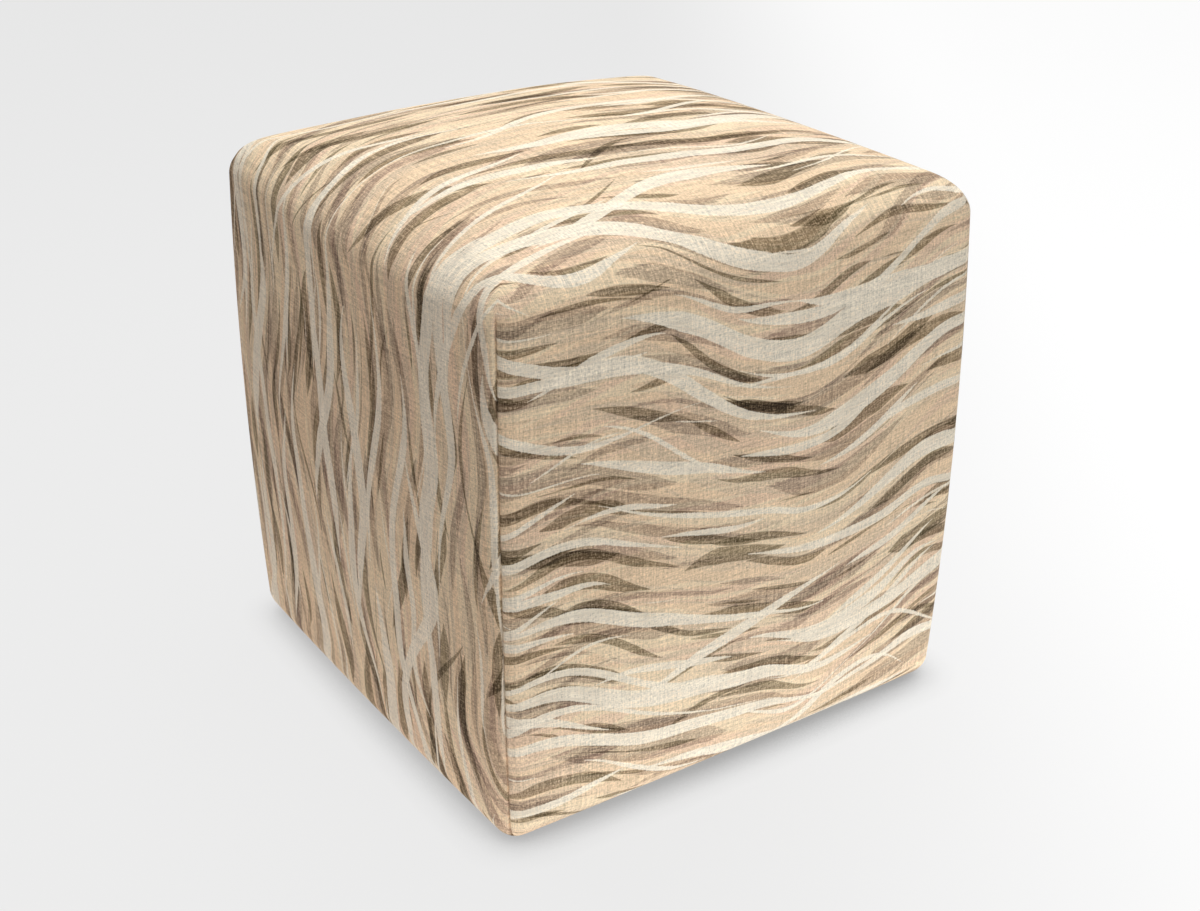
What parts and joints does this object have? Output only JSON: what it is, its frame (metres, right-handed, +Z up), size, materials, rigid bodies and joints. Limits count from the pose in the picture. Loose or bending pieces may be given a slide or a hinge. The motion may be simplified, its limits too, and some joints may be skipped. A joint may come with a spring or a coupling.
{
  "type": "cube pouf stool",
  "caption": "Firm filled cube footstool in a one-piece printed cloth cover with upright corner seams and a plain base panel.",
  "frame": {"origin": "middle of the underside, on the surface that the pouf rests on", "axes": "+Z up, -Y towards the front side, +X to the right of it"},
  "size_m": [0.4754, 0.4754, 0.4986],
  "materials": {
    "printed_cloth": "matte linen-like weave printed with flowing cream, tan, taupe and olive-brown strokes",
    "base_cloth": "plain matte woven base cloth"
  },
  "bodies": {
    "root": {"cover": "printed_cloth", "base_panel": "base_cloth"}
  },
  "joints": []
}
